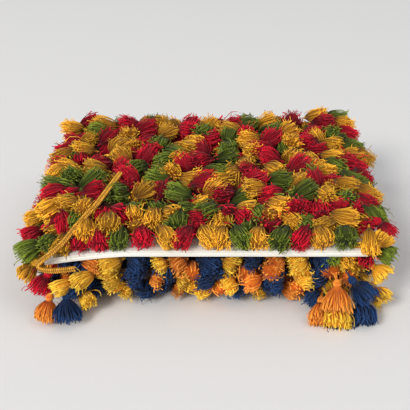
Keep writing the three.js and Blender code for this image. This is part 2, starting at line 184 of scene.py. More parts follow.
def swollen(x, y, z):
    """Where the swell towards the back takes a point of the upper winding."""
    deep = min(max((y - SWELL["start"]) / (SWELL["end"] - SWELL["start"]), 0), 1)
    high = min(max((z - SWELL["above"]) / (SWELL["top"] - SWELL["above"]), 0), 1)
    return (x + deep * (SWELL["longer"] * x + SWELL["right"]), y, z + deep * high * SWELL["height"])


def side_place(form, side, s, outward, sideways):
    """A place beside a winding, from how far along that side it is, from -1 to 1, and how far out."""
    middle, depth = (form["front"] + form["back"]) / 2, (form["back"] - form["front"]) / 2
    sign = -1 if side in ("left", "front") else 1
    reach = (1 - abs(s) ** SQUARENESS) ** (1 / SQUARENESS)
    if side in ("left", "right"):
        return sign * (form["half"] * reach + outward), middle + depth * s + sideways
    return form["half"] * s + sideways, middle + sign * (depth * reach + outward)


def lay_tassels():
    """Where each packed tassel lies: rows on top, then rows round the sides."""
    random = random_from(11)

    def around(spread):
        return spread * (2 * next(random) - 1)

    tassels = []
    pitch_x = 2 * TOP["half"] / TOP["columns"]
    pitch_y = (TOP["back"] - TOP["front"]) / TOP["rows"]
    middle_y = (TOP["front"] + TOP["back"]) / 2
    for row in range(TOP["rows"]):
        turn = math.floor(next(random) * len(UPPER_ORDER))
        for column in range(TOP["columns"]):
            x = -TOP["half"] + (column + 0.5) * pitch_x + around(0.3 * pitch_x)
            y = TOP["front"] + (row + 0.5) * pitch_y + around(0.3 * pitch_y)
            rim = max(abs(x) / TOP["half"], abs(y - middle_y) / (middle_y - TOP["front"]))
            z = TOP["z"] + around(2.5) - TOP["crown"] * rim**6
            edge = column in (0, TOP["columns"] - 1) or row in (0, TOP["rows"] - 1)
            angle = math.atan2(y - middle_y, x) + around(1) if edge else around(math.pi)
            half = TASSEL_LENGTH * (0.85 + 0.25 * next(random)) / 2
            lift = 2 + 6 * next(random)
            dx, dy = math.cos(angle) * half, math.sin(angle) * half
            tassels.append(dict(
                pile="upper", colour=UPPER_ORDER[(turn + column) % len(UPPER_ORDER)],
                head=swollen(x - dx, y - dy, z - 4), tip=swollen(x + dx, y + dy, z - 4 + lift),
                radius=TASSEL_RADIUS + around(1.5), side="top",
            ))
    for row in named_rows(SIDE_COLUMNS, SIDE_ROWS):
        form, order = form_at(FORMS[row["pile"]], row["z"]), ORDERS[row["pile"]]
        turn = math.floor(next(random) * len(order))
        for i in range(row["count"]):
            s = ((i + 0.5) / row["count"] * 2 - 1 + around(0.25 / row["count"])) * 0.93
            lean = row["lean"] * (-1 if next(random) < 0.5 else 1)
            lean *= 0.4 + 0.6 * next(random)
            drop = row["drop"] * 0.5 + around(row["drop"] * 0.7)
            z = row["z"] + around(3)
            ends = []
            for outward, sideways, up in ((-row["sunk"], -lean, drop), (row["out"], lean, -drop)):
                x, y = side_place(form, row["side"], s, outward, sideways)
                ends.append(swollen(x, y, z + up) if row["pile"] == "upper" else (x, y, z + up))
            tassels.append(dict(
                pile=row["pile"], colour=order[(turn + i) % len(order)], head=ends[0], tip=ends[1],
                radius=TASSEL_RADIUS + around(1.5), side=row["side"],
            ))
    return tassels


def card_bend(x):
    """How far the card is bent down at a place along it."""
    return max(0.0, (CARD["bend_from"] - x) / CARD["bend_over"]) ** CARD["bend_power"] * CARD["bend_down"]


def keep_off_card(tassel, above, below):
    """Keeps a tassel's yarns clear of the card, if it lies above the card or below it."""
    bend = card_bend((tassel["head"][0] + tassel["tip"][0]) / 2)
    if above:
        tassel["rest"] = CARD["top"] - bend
    if below:
        tassel["cap"] = CARD["under"] - bend


def add_sockets(group, way, **named):
    """Gives a node group its inputs or outputs, from the names that each kind of socket has."""
    for kind, names in named.items():
        for name in names:
            group.interface.new_socket(name, in_out=way, socket_type="NodeSocket" + kind)


def yarn_colour_group():
    """Spun cotton: paler where it stands out, with painted shade where it lies deep and towards the root;
    no two yarns quite alike.
    """
    group = bpy.data.node_groups.new("Spun cotton", "ShaderNodeTree")
    add_sockets(group, "INPUT", Color=("Colour", "Painted shade colour"))
    add_sockets(group, "OUTPUT", Color=("Colour",), Float=("Roughness", "Height"))
    given, put_out = add_node(group, "NodeGroupInput"), add_node(group, "NodeGroupOutput")
    place = add_node(group, "ShaderNodeTexCoord")
    reach, tint = add_node(group, "ShaderNodeAttribute"), add_node(group, "ShaderNodeAttribute")
    reach.attribute_name, tint.attribute_name = "reach", "tint"
    mottle = add_node(group, "ShaderNodeTexNoise", Scale=260, Detail=3)
    # Painted shade: each point's reach, how far its yarn stands out, mixes from the painted shade colour
    # to the yarn's own colour
    depth = add_node(group, "ShaderNodeMapRange", From_Min=0.1, From_Max=0.85)
    mixed = add_node(group, "ShaderNodeMix")
    mixed.data_type = "RGBA"
    bright, patchy = multiply_add(group, 0.95, 0.68), multiply_add(group, 0.4, -0.2)
    value, coloured = add_node(group, "ShaderNodeMath"), add_node(group, "ShaderNodeHueSaturation")
    fuzz = add_node(group, "ShaderNodeTexNoise", Scale=1900, Detail=2)
    rough = add_node(group, "ShaderNodeMapRange", To_Min=0.72, To_Max=1.0)
    wire(group,
         (place, "Object", mottle, "Vector"), (place, "Object", fuzz, "Vector"),
         (reach, "Fac", depth, "Value"), (depth, "Result", mixed, "Factor"),
         (given, "Painted shade colour", mixed, "A"), (given, "Colour", mixed, "B"),
         (tint, "Fac", bright, 0), (mottle, "Fac", patchy, 0),
         (bright, 0, value, 0), (patchy, 0, value, 1),
         (value, 0, coloured, "Value"), (mixed, "Result", coloured, "Color"),
         (coloured, "Color", put_out, "Colour"), (fuzz, "Fac", rough, "Value"),
         (rough, "Result", put_out, "Roughness"), (fuzz, "Fac", put_out, "Height"))
    return group


spun_cotton = yarn_colour_group()


def yarn_finish(name, colour, deep):
    finish, tree, shader = new_finish(name, 0.9, sheen=0.1)
    cotton = tree.nodes.new("ShaderNodeGroup")
    cotton.node_tree = spun_cotton
    cotton.inputs["Colour"].default_value = colour
    # deep is the yarn's painted shade colour, for where it lies deep in the brush and near its root
    cotton.inputs["Painted shade colour"].default_value = deep
    fuzzy = add_node(tree, "ShaderNodeBump", Strength=0.5, Distance=0.0003)
    wire(tree,
         (cotton, "Colour", shader, "Base Color"), (cotton, "Roughness", shader, "Roughness"),
         (cotton, "Height", fuzzy, "Height"), (fuzzy, "Normal", shader, "Normal"))
    return finish


def laid_yarn_tree():
    """Lays a unit piece, such as one yarn, from each point along its run, bows and frizzes it, and
    keeps it above what it rests on and below what lies on it."""
    group = bpy.data.node_groups.new("Laid yarn", "GeometryNodeTree")
    add_sockets(group, "INPUT", Geometry=("Geometry",), Object=("Unit piece",),
                Float=("Bend", "Bend size", "Frizz", "Frizz size"), Material=("Finish",))
    add_sockets(group, "OUTPUT", Geometry=("Geometry",))
    nodes, link = group.nodes, group.links.new
    given, put_out = nodes.new("NodeGroupInput"), nodes.new("NodeGroupOutput")

    def named(name, kind="FLOAT_VECTOR"):
        node = nodes.new("GeometryNodeInputNamedAttribute")
        node.data_type = kind
        node.inputs["Name"].default_value = name
        return node.outputs["Attribute"]

    def vector(operation, a, b=None, scale=None):
        node = nodes.new("ShaderNodeVectorMath")
        node.operation = operation
        for socket, value in ((node.inputs[0], a), (node.inputs[1], b)):
            if isinstance(value, tuple):
                socket.default_value = value
            elif value is not None:
                link(value, socket)
        if scale is not None:
            link(scale, node.inputs["Scale"])
        return node.outputs["Vector"]

    def number(operation, a, b):
        node = nodes.new("ShaderNodeMath")
        node.operation = operation
        for socket, value in ((node.inputs[0], a), (node.inputs[1], b)):
            if isinstance(value, float):
                socket.default_value = value
            else:
                link(value, socket)
        return node.outputs[0]

    def passed(shape, kind, **sockets):
        """The shape after one more node, with some of the node's inputs linked."""
        node = nodes.new(kind)
        link(shape, node.inputs["Geometry"])
        for name, socket in sockets.items():
            link(socket, node.inputs[name])
        return node.outputs["Geometry"]

    turned = nodes.new("FunctionNodeAxesToRotation")
    turned.primary_axis, turned.secondary_axis = "Z", "X"
    unit = nodes.new("GeometryNodeObjectInfo")
    laid = nodes.new("GeometryNodeInstanceOnPoints")
    wire(group,
         (given, "Unit piece", unit, "Object"), (given, "Geometry", laid, "Points"),
         (unit, "Geometry", laid, "Instance"), (turned, "Rotation", laid, "Rotation"))
    link(named("run"), turned.inputs["Primary Axis"])
    link(named("side"), turned.inputs["Secondary Axis"])
    link(named("size"), laid.inputs["Scale"])
    shape = passed(laid.outputs["Instances"], "GeometryNodeRealizeInstances")

    reach = named("along", "FLOAT")
    hump = number("MULTIPLY", number("MULTIPLY", reach, number("SUBTRACT", 1.0, reach)), 4.0)
    bow = vector("SCALE", named("bow"), scale=hump)
    shape = passed(shape, "GeometryNodeSetPosition", Offset=bow)

    spot = nodes.new("GeometryNodeInputPosition")
    moves = []
    for amount, size in (("Bend", "Bend size"), ("Frizz", "Frizz size")):
        noise = nodes.new("ShaderNodeTexNoise")
        noise.inputs["Detail"].default_value = 0
        link(spot.outputs["Position"], noise.inputs["Vector"])
        link(number("DIVIDE", 1.0, given.outputs[size]), noise.inputs["Scale"])
        centred = vector("SUBTRACT", noise.outputs["Color"], (0.5, 0.5, 0.5))
        strength = number("MULTIPLY", number("MULTIPLY", given.outputs[amount], 2.0), reach)
        moves.append(vector("SCALE", centred, scale=strength))
    shape = passed(shape, "GeometryNodeSetPosition", Offset=vector("ADD", moves[0], moves[1]))

    split, joined_up = nodes.new("ShaderNodeSeparateXYZ"), nodes.new("ShaderNodeCombineXYZ")
    below_cap = number("MINIMUM", split.outputs["Z"], named("cap", "FLOAT"))
    wire(group,
         (spot, "Position", split, 0), (split, "X", joined_up, "X"), (split, "Y", joined_up, "Y"))
    link(number("MAXIMUM", below_cap, named("rest", "FLOAT")), joined_up.inputs["Z"])
    shape = passed(shape, "GeometryNodeSetPosition", Position=joined_up.outputs[0])
    shape = passed(shape, "GeometryNodeSetShadeSmooth")
    shape = passed(shape, "GeometryNodeSetMaterial", Material=given.outputs["Finish"])
    link(shape, put_out.inputs["Geometry"])
    return group


laid_yarn = laid_yarn_tree()


def mesh_object(name, points, faces, **numbers):
    """An object from arrays, with named numbers or vectors for its points."""
    mesh = bpy.data.meshes.new(name)
    mesh.from_pydata([tuple(p) for p in points], [], faces)
    for key, values in numbers.items():
        values = np.asarray(values, dtype=np.float32)
        kind, field = ("FLOAT_VECTOR", "vector") if values.ndim == 2 else ("FLOAT", "value")
        mesh.attributes.new(key, kind, "POINT").data.foreach_set(field, values.ravel())
    item = bpy.data.objects.new(name, mesh)
    bpy.context.scene.collection.objects.link(item)
    return item


def turned_form(name, profile, sides):
    """A round closed form from rows of height, radius and how far out its yarn shows, from 0 to 1, which
    sets how much painted shade it takes.
    Its first and last rows are on the axis."""
    points, faces, reach, rings = [], [], [], []
    for height, radius, shows in profile:
        count = 1 if radius == 0 else sides
        rings.append((len(points), count))
        for i in range(count):
            angle = 2 * math.pi * i / sides
            points.append((radius * math.cos(angle), radius * math.sin(angle), height))
            reach.append(shows)
    for (a, na), (b, nb) in zip(rings, rings[1:]):
        for i in range(sides):
            k = (i + 1) % sides
            if na == 1:
                faces.append((a, b + k, b + i))
            elif nb == 1:
                faces.append((a + i, a + k, b))
            else:
                faces.append((a + i, a + k, b + k, b + i))
    return mesh_object(name, points, faces, along=np.clip([p[2] for p in points], 0, 1), reach=reach)


def yarn_form(name, stops):
    """A yarn of three sides, which starts in a point and is cut off square."""
    rows = [(0, 0, 0)] + [(stop, 1, stop) for stop in stops] + [(1, 0.9, 1), (1, 0, 1)]
    return turned_form(name, rows, 3)


# The unit pieces, each one unit long, which are stretched to size where they are laid: two yarns, two
# kinds of cut end, the insides of a tassel and of a deep one, a loose tassel's head, and a stitch
yarn_unit = yarn_form("unit_yarn", [0.25, 0.5, 0.77])
fine_unit = yarn_form("unit_fine_yarn", [0.15, 0.32, 0.5, 0.67, 0.84])
curl_unit = turned_form("unit_curled_end", [
    (0, 0, 0.45), (0.3, 1, 0.7), (0.65, 1, 0.95), (1, 0.85, 1), (1, 0, 1)], 3)
stub_unit = turned_form("unit_cut_end", [(0, 0, 0.3), (0.7, 1, 0.85), (1, 0.85, 1), (1, 0, 1)], 3)
body_unit = turned_form("unit_tassel_body", [
    (-0.02, 0, 0.4), (0.02, 0.1, 0.4), (0.1, 0.17, 0.4), (0.2, 0.24, 0.3),
    (0.34, 0.52, 0.25), (0.55, 0.78, 0.25), (0.78, 0.82, 0.25), (0.92, 0.66, 0.2),
    (0.96, 0, 0.1)], 9)
small_unit = turned_form("unit_deep_body", [
    (0.05, 0, 0.2), (0.15, 0.4, 0.2), (0.4, 0.62, 0.25), (0.75, 0.86, 0.25), (0.93, 0.8, 0.15),
    (0.95, 0, 0.1)], 8)
# The low third values in the rings of the head's wrapped neck paint shade into the grooves between the
# wraps
head_unit = turned_form("unit_tassel_head", [
    (0, 0, 0.5), (0.02, 0.5, 0.5), (0.1, 0.82, 0.6), (0.25, 1, 0.65), (0.42, 0.98, 0.6),
    (0.58, 0.8, 0.45), (0.64, 0.7, 0.3), (0.66, 0.84, 0.6), (0.7, 0.84, 0.6), (0.72, 0.72, 0.2),
    (0.74, 0.84, 0.6), (0.78, 0.84, 0.6), (0.8, 0.72, 0.2), (0.82, 0.84, 0.6), (0.86, 0.84, 0.6),
    (0.88, 0.72, 0.2), (1, 0.9, 0.3), (1, 0, 0.3)], 14)
stitch_unit = turned_form("unit_stitch", [
    (0, 0, 0.2), (0.1, 0.7, 0.35), (0.4, 1, 0.7), (0.75, 1, 0.8), (0.95, 0.7, 0.5), (1, 0, 0.3)], 4)


def tassel_axes(tassel):
    """A tassel's head, the way along it, its length and two ways across it."""
    head, tip = np.array(tassel["head"], float), np.array(tassel["tip"], float)
    length = np.linalg.norm(tip - head)
    along = (tip - head) / length
    level = np.cross(along, (0, 0, 1))
    level = np.array((1.0, 0, 0)) if np.linalg.norm(level) < 0.2 else level / np.linalg.norm(level)
    return head, along, length, level, np.cross(level, along)


def way_out(level, across, angle, flat=1.0):
    """Straight out from the middle of a tassel at one angle round it, less so where it is flat."""
    return level * math.cos(angle) + across * math.sin(angle) * flat


# The heights that a yarn stays between, unless its tassel says otherwise: just over the table, and
# above everything
KEPT_BETWEEN = dict(rest=0.6, cap=400)


def new_rows():
    return {key: [] for key in ("at", "run", "side", "size", "bow", "tint", "rest", "cap")}


def add_row(rows, tassel, at, run, side, size, bow, tint):
    """One more place for a unit piece to be laid."""
    for key, value in zip(rows, (at, run, side, size, bow, tint)):
        rows[key].append(value)
    for key, usual in KEPT_BETWEEN.items():
        rows[key].append(tassel.get(key, usual))


def add_yarn(rows, tassel, start, run, out, width, bow, tint):
    """A yarn or part as long as its run, and as thick as its width."""
    add_row(rows, tassel, start, run, out, (width, width, np.linalg.norm(run)), bow, tint)


def each_yarn(tassels, count, flat, stray, rng):
    """For every yarn of some tassels: its number, its tassel and the tassel's line, and its way out."""
    for tassel in tassels:
        head, along, length, level, across = tassel_axes(tassel)
        for i in range(count):
            out = way_out(level, across, i * GOLDEN_TURN + rng.uniform(-stray, stray), flat)
            yield i, tassel, head, along, length, out


def skirt_yarns(tassels, count, thick, flat, start_at, rng, closing=1.0, belly=0.2):
    """The long yarns, from the neck to the cut ends, all round each tassel. A few stray out of it.
    Packed brushes close a little at their ends and bulge above them, which loose skirts don't."""
    rows = new_rows()
    for i, tassel, head, along, length, out in each_yarn(tassels, count, flat, 0.25, rng):
        loose, escaped = rng.random() < 0.1, rng.random() < 0.03
        spread = tassel["radius"] * closing * rng.uniform(0.8, 1.2 if loose else 1.02)
        start = head + along * start_at + out * 0.46 * start_at
        end = head + along * length * rng.uniform(0.88, 1.1 if loose else 1.03) + out * spread
        end += rng.normal(0, 5 if escaped else 0.9, 3)
        bow = out * tassel["radius"] * belly * rng.uniform(0.6, 1.5)
        bow += rng.normal(0, 4 if escaped else 0.5, 3)
        width = thick * rng.uniform(0.75, 1.2)
        tint = tassel["tint"] + rng.uniform(-0.35, 0.35)
        add_yarn(rows, tassel, start, end - start, out, width, bow, tint)
    return rows


def cut_ends(tassels, count, thick, flat, rng, closing=0.95, dome=0.04):
    """The cut ends that fill the middle of each tassel's brush, longer in the middle by the dome."""
    rows = new_rows()
    for i, tassel, head, along, length, out in each_yarn(tassels, count, flat, 0.4, rng):
        part = math.sqrt((i + rng.uniform(0, 1)) / count)
        spread = tassel["radius"] * part * closing
        start = head + along * length * 0.78 + out * spread * 0.85
        reach = rng.uniform(0.93, 1.05) + dome * (0.5 - part * part)
        run = head + along * length * reach + out * spread + rng.normal(0, 1.5, 3) - start
        width = thick * rng.uniform(0.75, 1.25)
        tint = tassel["tint"] + rng.uniform(-0.35, 0.35)
        add_yarn(rows, tassel, start, run, out, width, run * 0, tint)
    return rows


def curled_yarns(tassels, count, thick, flat, rng):
    """Short cut yarns that curl out of the brush all over its sides."""
    rows = new_rows()
    for i, tassel, head, along, length, out in each_yarn(tassels, count, flat, 0.5, rng):
        down = rng.uniform(0.5, 0.98)
        belly = 0.5 + 0.36 * math.sin(math.pi * min(down, 0.9))
        start = head + along * length * down + out * tassel["radius"] * belly
        run = along * rng.uniform(0.1, 1) + out * rng.uniform(0.2, 0.8) + rng.normal(0, 0.35, 3)
        run *= rng.uniform(5, 8.5) / np.linalg.norm(run)
        width = thick * rng.uniform(0.8, 1.2)
        tint = tassel["tint"] + rng.uniform(-0.4, 0.4)
        add_yarn(rows, tassel, start, run, out, width, rng.normal(0, 1.1, 3), tint)
    return rows


def tassel_bodies(tassels, flat):
    rows = new_rows()
    for tassel in tassels:
        head, along, length, level, across = tassel_axes(tassel)
        size = (tassel["radius"] * 0.92, tassel["radius"] * flat * 0.92, length)
        # The body inside the brush is painted a little darker than its yarns, as painted shade
        add_row(rows, tassel, head, along * length, level, size, along * 0, tassel["tint"] - 0.1)
    return rows


def grown(name, rows, unit, finish, bend=0.0, frizz=0.0):
    """The rows as points, grown into a plain mesh by the laid yarn tree."""
    rows = {key: np.array(values) for key, values in rows.items()}
    scaled = {key: rows[key] * MM for key in ("run", "size", "bow", "rest", "cap")}
    holder = mesh_object(name, rows["at"] * MM + measured_from, [], side=rows["side"],
                         tint=rows["tint"], **scaled)
    tool = holder.modifiers.new("Laid yarn", "NODES")
    tool.node_group = laid_yarn
    values = {"Unit piece": unit, "Bend": bend * MM, "Bend size": 0.022, "Frizz": frizz * MM,
              "Frizz size": 0.0034, "Finish": finish}
    for socket in laid_yarn.interface.items_tree:
        if socket.in_out == "INPUT" and socket.name in values:
            tool[socket.identifier] = values[socket.name]
    mesh = bpy.data.meshes.new_from_object(holder.evaluated_get(bpy.context.evaluated_depsgraph_get()))
    bpy.data.objects.remove(holder)
    part = bpy.data.objects.new(name, mesh)
    bpy.context.scene.collection.objects.link(part)
    return part


def joined(parts):
    with bpy.context.temp_override(active_object=parts[0], selected_editable_objects=parts):
        bpy.ops.object.join()
    return parts[0]


PACKED = dict(flat=0.86, neck=2.5, bend=3.6, frizz=2.3)
DEEP = dict(yarns=15, ends=14, curls=6, thick=0.8, body=small_unit)


def packed_tassels(name, tassels, finish, seed, yarns=38, ends=52, curls=34, thick=0.5, body=body_unit):
    """All that shows of some packed tassels of one colour, as one piece."""
    rng = np.random.default_rng(seed)
    flat, bend, frizz = PACKED["flat"], PACKED["bend"], PACKED["frizz"]
    for tassel in tassels:
        tassel["tint"] = rng.uniform(0.2, 0.8)
    skirt = skirt_yarns(tassels, yarns, thick, flat, PACKED["neck"], rng, closing=0.8, belly=0.36)
    filling = cut_ends(tassels, ends, thick, flat, rng, closing=0.86, dome=0.2)
    curled = curled_yarns(tassels, curls, thick, flat, rng)
    return joined([
        grown(name, skirt, yarn_unit, finish, bend, frizz),
        grown(name, filling, stub_unit, finish, bend, frizz),
        grown(name, curled, curl_unit, finish, bend, frizz),
        grown(name, tassel_bodies(tassels, flat), body, finish, bend),
    ])


def fit(piece, node, slot):
    """Hangs a finished piece in the frame in place of its solid."""
    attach(piece, "root")
    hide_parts(node)


# Each cotton's first colour is its own; the second is painted shade, for where the yarn lies deep in the
# brush and near its root
YARN_FINISHES = {
    "crimson": yarn_finish("Crimson cotton", linear(214, 16, 46), linear(80, 2, 12)),
    "mustard": yarn_finish("Mustard cotton", linear(250, 188, 50), linear(120, 68, 8)),
    "green": yarn_finish("Green cotton", linear(126, 142, 42), linear(30, 40, 8)),
    "navy": yarn_finish("Navy cotton", linear(34, 66, 114), linear(8, 18, 40)),
    "orange": yarn_finish("Orange cotton", linear(252, 164, 62), linear(188, 84, 18)),
    "yellow": yarn_finish("Yellow cotton", linear(253, 208, 66), linear(204, 132, 18)),
}


def fit_colour(pile, colour, tassels, seed, layer="", **looks):
    """Hangs one winding's tassels of one colour in the frame, as one piece."""
    chosen = [t for t in tassels if t["pile"] == pile and t["colour"] == colour]
    fit(packed_tassels(f"{pile}_{layer}{colour}", chosen, YARN_FINISHES[colour], seed, **looks),
        pile + "_winding", pile + "_winding")


# The row that hangs over the card's front edge, from left to right
FRONT_HEAD, FRONT_TIP = dict(y=25, z=100), dict(y=-6, z=88)
FRONT_COLUMNS = ("colour", "x", "lean", "drop", "radius")
FRONT_ROW = [
    ("mustard", -167, -4, -1, 11), ("crimson", -147, -2, 1, 9), ("crimson", -125, 3, 0, 13),
    ("green", -100, -2, 0, 13), ("crimson", -74, 2, 2, 13), ("mustard", -48, 9, 5, 12),
    ("crimson", -24, -8, 2, 13), ("mustard", 0, 6, 5, 12), ("mustard", 18, -3, 1, 13),
    ("green", 39, 6, 4, 13), ("mustard", 62, -4, 1, 14), ("green", 89, -9, 0, 15),
    ("crimson", 112, -10, -1, 13), ("mustard", 133, 3, 2, 14), ("green", 161, 0, 4, 15),
]
# The tassels that show whole, which lie as the real ones do, from the middle of the side or end of the
# brush that shows and which way it points. The last few are under the card's right corner
SEEN_COLUMNS = ("colour", "middle", "way", "radius")
BEHIND_FRONT = [
    ("mustard", (-141, 5, 98), (0, -0.9, -0.4), 12),
    ("mustard", (-114, 10, 102), (0, -0.9, -0.35), 17),
    ("crimson", (-123, 42, 108), (0, -1, -0.1), 12),
    ("crimson", (-100, 42, 107), (0.4, -0.9, -0.2), 13),
    ("mustard", (-87, 46, 111), (0, -1, -0.2), 14),
    ("mustard", (-62, 29, 106), (0, -0.9, -0.3), 14),
    ("green", (-62, 62, 109), (0.3, -0.9, 0), 12),
    ("crimson", (-96, 94, 114), (0.3, -0.7, 0.5), 17),
    ("green", (-33, 26, 102), (0, -0.9, -0.4), 17),
    ("crimson", (-8, 34, 106), (0.9, -0.3, 0.2), 14),
    ("mustard", (-11, 66, 110), (1, 0.3, 0), 12),
    ("mustard", (19, 38, 107), (0.2, -0.9, -0.3), 13),
    ("crimson", (44, 46, 108), (0.5, -0.8, -0.2), 15),
    ("green", (60, 52, 109), (0.4, -0.9, -0.2), 12),
    ("crimson", (76, 35, 102), (0, -0.7, 0.5), 15),
    ("mustard", (101, 34, 104), (0.5, -0.7, -0.3), 13),
    ("mustard", (100, 68, 111), (0.1, -1, 0), 13),
    ("green", (124, 34, 103), (-1, 0, 0), 12),
    ("mustard", (141, 22, 103), (-0.9, -0.4, -0.1), 10),
    ("mustard", (174, 30, 106), (1, -0.2, -0.2), 14),
]
RIGHT_END = [
    ("mustard", (173, 292, 134), (1, 0, 0.1), 13),
    ("green", (206, 294, 128), (0.9, -0.2, -0.3), 13),
    ("crimson", (181, 266, 132), (1, 0, 0), 14),
    ("mustard", (215, 272, 124), (0.9, -0.2, -0.3), 13),
    ("crimson", (217, 249, 117), (0.9, -0.2, -0.4), 12),
    ("green", (187, 244, 124), (0.5, -0.5, 0.6), 13),
    ("mustard", (160, 232, 125), (-0.5, 0.6, 0.5), 11),
    ("crimson", (153, 195, 122), (1, -0.1, 0), 13),
    ("mustard", (184, 203, 123), (0.9, -0.4, 0), 13),
    ("green", (215, 204, 116), (0.8, -0.4, -0.5), 15),
    ("mustard", (228, 186, 109), (0.6, -0.3, -0.7), 10),
    ("mustard", (180, 172, 120), (0.8, -0.5, 0), 10),
    ("crimson", (197, 158, 117), (1, -0.1, -0.2), 11),
    ("green", (181, 153, 118), (0.8, -0.6, -0.2), 13),
    ("mustard", (145, 163, 119), (0, -1, 0), 11),
    ("mustard", (162, 138, 117), (0.9, -0.4, 0), 15),
    ("green", (198, 123, 109), (0.8, -0.3, -0.6), 13),
    ("crimson", (216, 138, 102), (0.6, -0.3, -0.8), 13),
    ("crimson", (168, 111, 115), (0.8, -0.6, 0), 13),
    ("mustard", (187, 98, 115), (0.9, -0.2, -0.3), 11),
    ("mustard", (155, 98, 113), (0.9, 0.3, 0), 11),
    ("green", (178, 66, 114), (0.3, -0.7, 0.5), 14),
    ("mustard", (213, 85, 106), (0.8, -0.3, -0.6), 10),
    ("crimson", (138, 60, 112), (0, -1, -0.3), 13),
    ("crimson", (160, 57, 113), (0.8, -0.6, -0.1), 13),
    ("crimson", (202, 62, 105), (0.8, -0.6, -0.2), 16),
    ("green", (222, 72, 83), (0.4, -0.2, -0.9), 12),
    ("crimson", (196, 30, 92), (0.3, -0.8, 0.4), 13),
    ("green", (211, 46, 98), (0.6, -0.5, -0.6), 12),
    ("mustard", (192, -6, 87), (-0.1, -0.7, -0.7), 11),
]
LEFT_END = [
    ("crimson", (-178, 280, 131), (1, 0.1, 0.1), 15),
    ("mustard", (-205, 252, 128), (-1, 0.2, 0), 13),
    ("mustard", (-172, 228, 123), (0.8, 0.6, 0), 11),
    ("crimson", (-196, 232, 118), (-0.7, 0.6, 0.2), 11),
    ("crimson", (-206, 208, 109), (-0.8, -0.5, -0.2), 13),
    ("mustard", (-178, 192, 124), (-1, 0.1, 0.1), 11),
    ("crimson", (-177, 180, 118), (0.2, -0.9, -0.2), 13),
    ("green", (-175, 116, 120), (-0.2, -0.7, 0.6), 15),
    ("mustard", (-202, 136, 112), (-0.5, -0.8, -0.3), 14),
    ("crimson", (-201, 84, 107), (-0.9, -0.3, -0.3), 15),
    ("crimson", (-169, 83, 113), (-0.5, -0.9, 0), 12),
    ("mustard", (-176, 56, 111), (-0.8, -0.6, 0), 14),
    ("crimson", (-175, 32, 103), (0.3, -0.6, -0.7), 11),
    ("green", (-157, 37, 107), (-0.1, -0.9, -0.4), 13),
    ("green", (-189, 4, 83), (-0.2, -0.9, 0.2), 12),
]
UNDER_CORNER = [
    ("crimson", (187, -8, 68), (-0.3, -0.9, 0), 10),
    ("mustard", (167, -9, 67), (0.3, -0.9, 0), 10),
    ("green", (147, -8, 68), (-0.2, -0.9, 0), 8),
]


# More of the lower winding's tassels, beside the loose ones at its front corners
CORNER_COLUMNS = ("colour", "head", "tip", "radius")
LOWER_CORNERS = [
    ("navy", (-139, -1, 40), (-160, -23, 32), 9),
    ("yellow", (-128, -5, 52), (-153, -19, 44), 11),
    ("navy", (139, -2, 24), (121, -13, 15), 8),
]
# The heart of the bundle, from which outward is measured, and where a tassel lies over the card
HEART = dict(half=150, front=50, back=250, z=78)
OVER_CARD = dict(half=185, z=85)
SEEN_LENGTH, SEEN_APART = 34, 17


def seen_tassel(colour, middle, way, radius):
    """A packed tassel, from the part of its brush that shows and which way it points."""
    middle, way = np.array(middle, float), np.array(way, float)
    way /= np.linalg.norm(way)
    heart = np.array((np.clip(middle[0], -HEART["half"], HEART["half"]),
                      np.clip(middle[1], HEART["front"], HEART["back"]), HEART["z"]))
    outward = (middle - heart) / np.linalg.norm(middle - heart)
    lying = 1 - max(0.0, way @ outward)
    tip = middle + (way * 15 - outward * radius * 0.55) * lying
    head = tip - way * SEEN_LENGTH - outward * 4
    side = "top" if abs(middle[0]) < OVER_CARD["half"] and middle[2] > OVER_CARD["z"] else "end"
    return dict(pile="upper", colour=colour, head=head, tip=tip, radius=radius, side=side)


def front_tassel(colour, x, lean, drop, radius):
    """A tassel that hangs over the card's front edge."""
    bent = card_bend(x)
    head = (x - lean, FRONT_HEAD["y"], FRONT_HEAD["z"] - bent)
    tip = (x + lean, FRONT_TIP["y"], FRONT_TIP["z"] + drop - bent)
    return dict(pile="upper", colour=colour, head=head, tip=tip, radius=radius, side="front")


def brush_middle(tassel):
    head, tip = np.array(tassel["head"], float), np.array(tassel["tip"], float)
    return head + (tip - head) * 0.6


def apart(tassel, others):
    """How far the middle of a tassel's brush is from the nearest of some others."""
    return min(np.linalg.norm(brush_middle(tassel) - brush_middle(other)) for other in others)


seen = [seen_tassel(**row)
        for row in named_rows(SEEN_COLUMNS, BEHIND_FRONT + RIGHT_END + LEFT_END + UNDER_CORNER)]
for tassel in seen[-len(UNDER_CORNER):]:
    tassel["cap"] = CARD["under"]
seen += [front_tassel(**row) for row in named_rows(FRONT_COLUMNS, FRONT_ROW)]
# The others are laid by the rows, but for those that would lie where these do
packed = [tassel for tassel in lay_tassels() if tassel["pile"] == "lower" or (
    tassel["side"] != "front" and apart(tassel, seen) > SEEN_APART)] + seen
packed += [dict(row, pile="lower", side="front") for row in named_rows(CORNER_COLUMNS, LOWER_CORNERS)]
for tassel in packed:
    upper, side = tassel["pile"] == "upper", tassel["side"]
    keep_off_card(tassel, above=upper and side in ("top", "front", "back"),
                  below=not upper and side in ("front", "back"))

for i, colour in enumerate(("crimson", "mustard", "green")):
    fit_colour("upper", colour, packed, seed=i)

